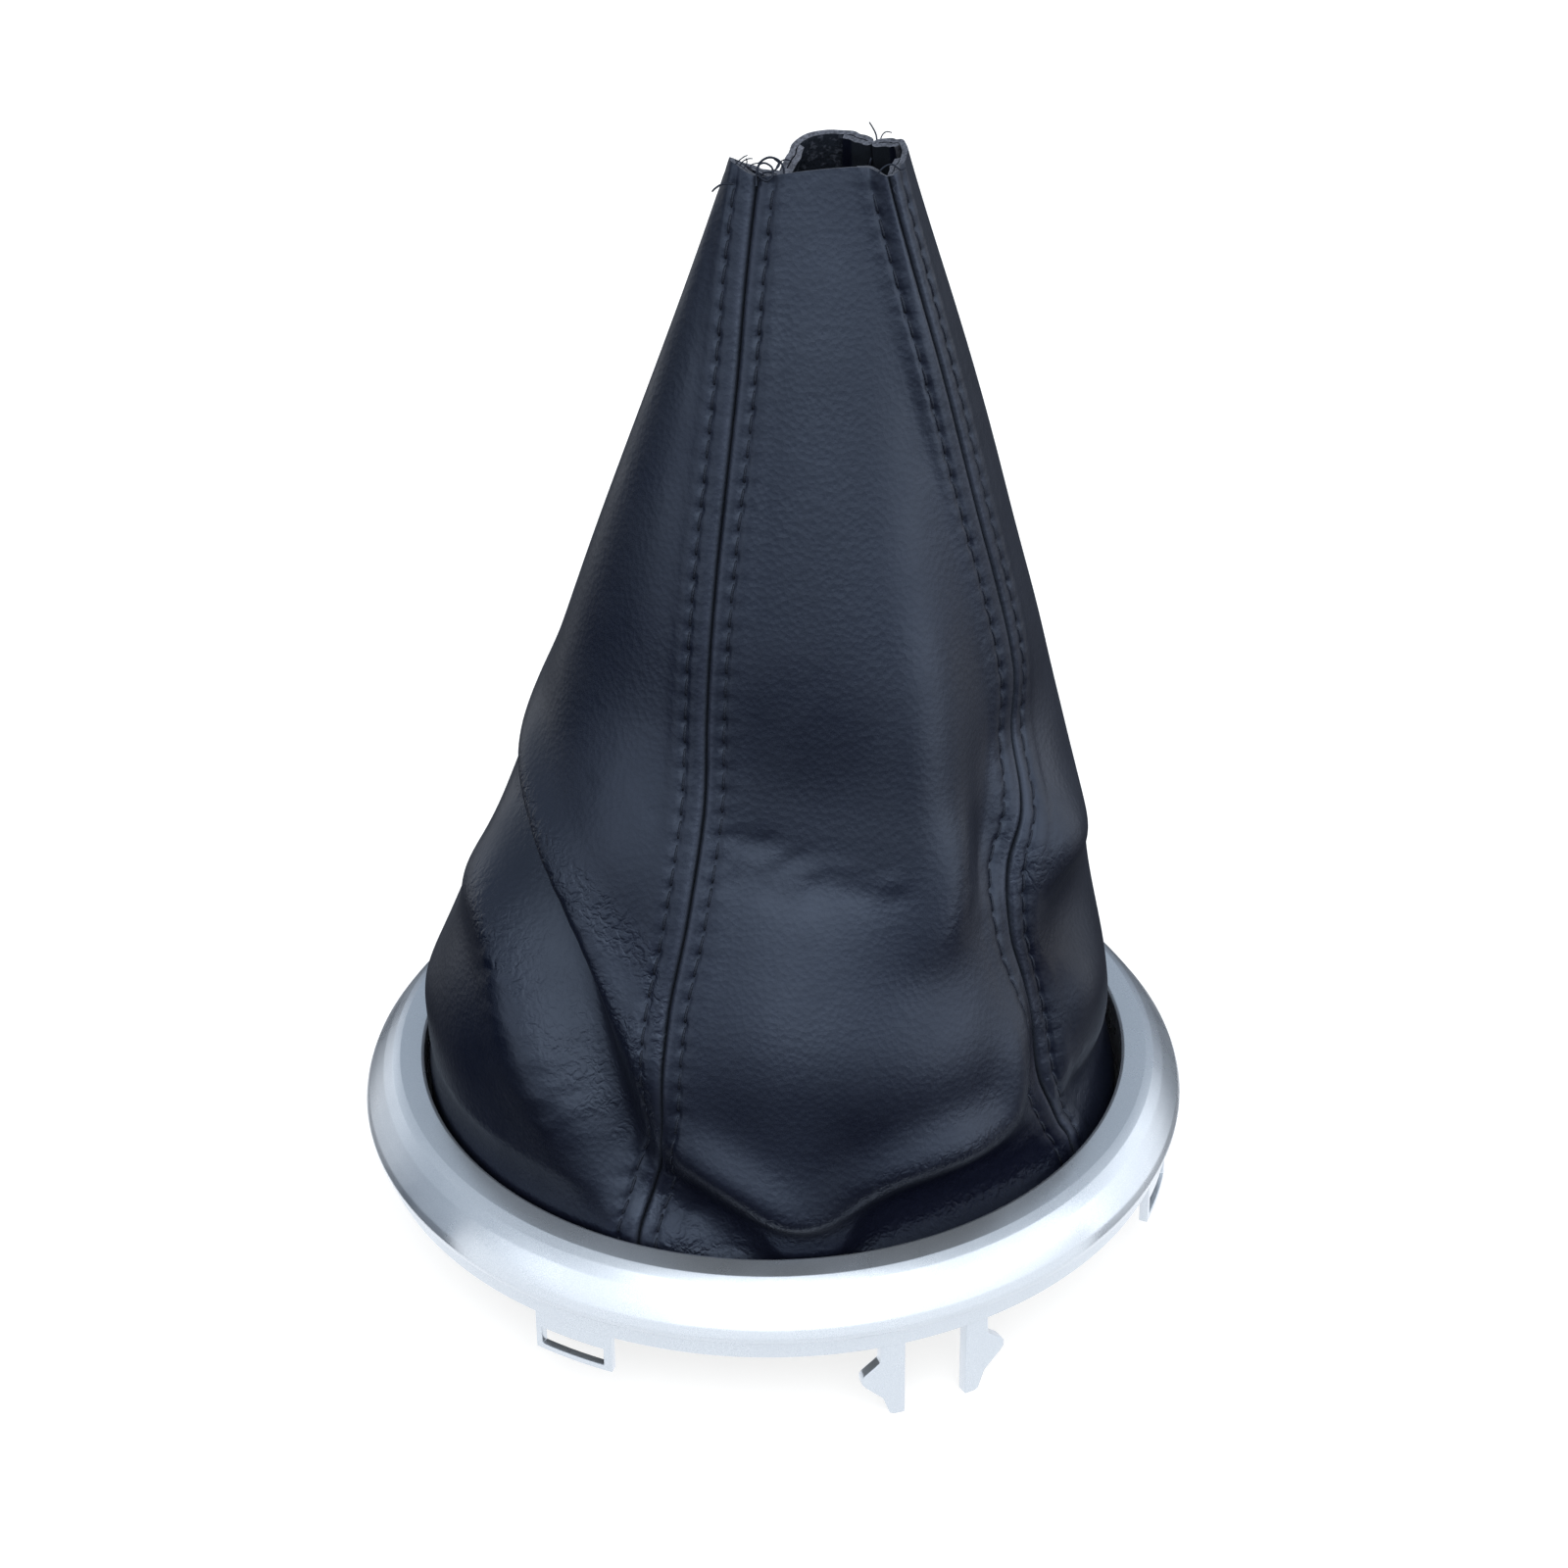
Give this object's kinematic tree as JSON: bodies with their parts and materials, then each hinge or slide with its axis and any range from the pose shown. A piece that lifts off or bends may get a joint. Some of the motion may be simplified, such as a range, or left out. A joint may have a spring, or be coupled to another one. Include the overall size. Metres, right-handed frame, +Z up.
{
  "type": "gear gaiter",
  "caption": "Sewn black leatherette boot that narrows from a round silver trim ring to a cut mouth for the gear lever; barbed hooks and looped tabs under the ring snap into a console.",
  "frame": {"origin": "on the trim ring's axis, in the plane that its hook tips stand on", "axes": "+Z up along the ring's axis towards the boot's mouth; -Y is the front, through the middle of one pair of hooks; +X is to the right of it"},
  "size_m": [0.13, 0.13, 0.177],
  "materials": {
    "silver_plastic": "satin silver paint",
    "black_plastic": "plain moulded",
    "black_leatherette": "fine grain, low gloss, knit backing",
    "black_thread": "twisted polyester"
  },
  "bodies": {
    "root": {"trim_ring": "silver_plastic", "retaining_hoop": "black_plastic", "front_panel": "black_leatherette", "right_panel": "black_leatherette", "back_panel": "black_leatherette", "left_panel": "black_leatherette", "closing_stitch_front_left": "black_thread", "closing_stitch_front_right": "black_thread", "closing_stitch_back_right": "black_thread", "closing_stitch_back_left": "black_thread", "topstitch_front_left_left": "black_thread", "topstitch_front_left_right": "black_thread", "topstitch_front_right_left": "black_thread", "topstitch_front_right_right": "black_thread", "topstitch_back_right_left": "black_thread", "topstitch_back_right_right": "black_thread", "topstitch_back_left_left": "black_thread", "topstitch_back_left_right": "black_thread"}
  },
  "joints": []
}
